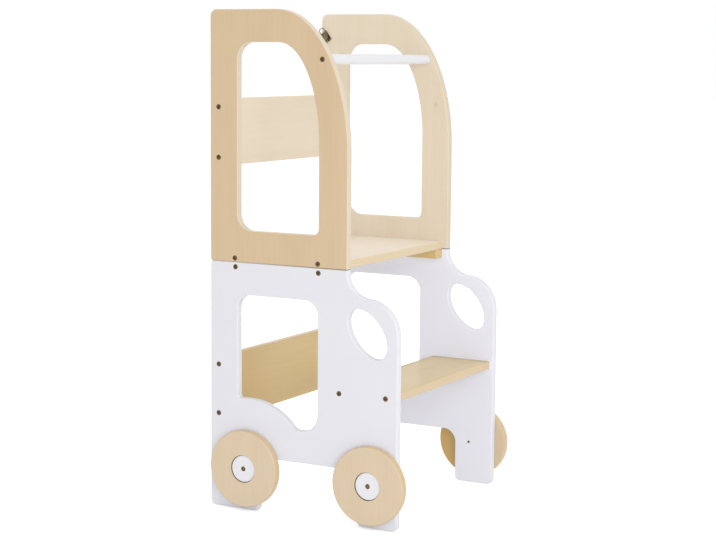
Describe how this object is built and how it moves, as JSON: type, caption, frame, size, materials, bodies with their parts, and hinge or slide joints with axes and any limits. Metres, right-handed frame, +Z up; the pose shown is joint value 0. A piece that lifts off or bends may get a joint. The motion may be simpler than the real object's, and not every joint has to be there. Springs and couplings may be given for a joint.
{
  "type": "step stool",
  "caption": "Two-part wooden step stool shaped like a bus: a railed platform hinged over a white base with a step and turning toy wheels, folding into a low table.",
  "frame": {"origin": "centre of the bounding box on the floor under the stool", "axes": "+X to the right side panel, -Y to the front where the step is, +Z up"},
  "size_m": [0.444, 0.408, 0.9],
  "materials": {
    "panel_birch": "clear satin lacquer over birch plywood",
    "platform_birch": "clear satin lacquer over birch plywood",
    "slat_birch": "clear satin lacquer over birch plywood",
    "step_birch": "clear satin lacquer over birch plywood",
    "wheel_birch": "clear satin lacquer over turned birch plywood",
    "cleat_wood": "planed and lacquered",
    "panel_white": "white satin paint over plywood",
    "bar_white": "white satin paint over a round dowel",
    "hub_white": "white, slightly satin",
    "screw_bronze": "antique bronze plating",
    "hinge_bronze": "antique bronze plating",
    "catch_bronze": "antique bronze plating"
  },
  "bodies": {
    "base": {"lower_panel_left": "panel_white", "lower_panel_right": "panel_white", "platform_cleat_left": "cleat_wood", "platform_cleat_right": "cleat_wood", "lower_back_slat": "slat_birch", "step_board": "step_birch", "lower_slat_screws": "screw_bronze", "step_screws": "screw_bronze", "cleat_screws": "screw_bronze", "wheel_hub_rear_left": "hub_white", "wheel_hub_rear_right": "hub_white", "wheel_hub_front_left": "hub_white", "wheel_hub_front_right": "hub_white", "wheel_bolts": "screw_bronze", "hinge_lower_leaf_left": "hinge_bronze", "hinge_lower_leaf_right": "hinge_bronze", "hinge_pin_left": "hinge_bronze", "hinge_pin_right": "hinge_bronze", "hinge_lower_screws": "screw_bronze", "catch_keeper_left": "catch_bronze", "catch_keeper_right": "catch_bronze", "catch_keeper_screws": "screw_bronze"},
    "upper": {"upper_panel_left": "panel_birch", "upper_panel_right": "panel_birch", "platform_board": "platform_birch", "upper_back_slat": "slat_birch", "hand_bar": "bar_white", "upper_slat_screws": "screw_bronze", "platform_screws": "screw_bronze", "hand_bar_screws": "screw_bronze", "hinge_upper_leaf_left": "hinge_bronze", "hinge_upper_leaf_right": "hinge_bronze", "hinge_upper_screws": "screw_bronze", "catch_plate_left": "catch_bronze", "catch_plate_right": "catch_bronze", "catch_pin_left": "catch_bronze", "catch_pin_right": "catch_bronze", "catch_plate_screws": "screw_bronze"},
    "catch_lever_left": {"catch_lever_left": "catch_bronze"},
    "catch_bail_left": {"catch_bail_left": "catch_bronze"},
    "wheel_rear_left": {"wheel_rear_left": "wheel_birch"},
    "wheel_front_left": {"wheel_front_left": "wheel_birch"},
    "catch_lever_right": {"catch_lever_right": "catch_bronze"},
    "catch_bail_right": {"catch_bail_right": "catch_bronze"},
    "wheel_rear_right": {"wheel_rear_right": "wheel_birch"},
    "wheel_front_right": {"wheel_front_right": "wheel_birch"}
  },
  "joints": [
    {"name": "fold", "type": "hinge", "parent": "base", "child": "upper", "pos_m": [0, 0.20048, 0.451], "axis": [-1, 0, 0], "range_deg": [0, 180]},
    {"name": "wheel_rear_left_spin", "type": "hinge", "parent": "base", "child": "wheel_rear_left", "pos_m": [-0.2145, 0.12098, 0.0785], "axis": [1, 0, 0], "continuous": true},
    {"name": "wheel_rear_right_spin", "type": "hinge", "parent": "base", "child": "wheel_rear_right", "pos_m": [0.2145, 0.12098, 0.0785], "axis": [1, 0, 0], "continuous": true},
    {"name": "wheel_front_left_spin", "type": "hinge", "parent": "base", "child": "wheel_front_left", "pos_m": [-0.2145, -0.13401, 0.0785], "axis": [1, 0, 0], "continuous": true},
    {"name": "wheel_front_right_spin", "type": "hinge", "parent": "base", "child": "wheel_front_right", "pos_m": [0.2145, -0.13401, 0.0785], "axis": [1, 0, 0], "continuous": true},
    {"name": "catch_lever_left_lift", "type": "hinge", "parent": "upper", "child": "catch_lever_left", "pos_m": [-0.1874, 0.19096, 0.85872], "axis": [0, -0.7986, 0.6018], "range_deg": [0, 110]},
    {"name": "catch_bail_left_swing", "type": "hinge", "parent": "catch_lever_left", "child": "catch_bail_left", "pos_m": [-0.1874, 0.18825, 0.85513], "axis": [0, -0.7986, 0.6018], "range_deg": [-110, 0]},
    {"name": "catch_lever_right_lift", "type": "hinge", "parent": "upper", "child": "catch_lever_right", "pos_m": [0.1874, 0.19096, 0.85872], "axis": [0, 0.7986, -0.6018], "range_deg": [0, 110]},
    {"name": "catch_bail_right_swing", "type": "hinge", "parent": "catch_lever_right", "child": "catch_bail_right", "pos_m": [0.1874, 0.18825, 0.85513], "axis": [0, 0.7986, -0.6018], "range_deg": [-110, 0]}
  ],
  "couplings": [
    {"joint": "catch_bail_left_swing", "follows": "catch_lever_left_lift", "ratio": -1},
    {"joint": "catch_bail_right_swing", "follows": "catch_lever_right_lift", "ratio": -1}
  ]
}
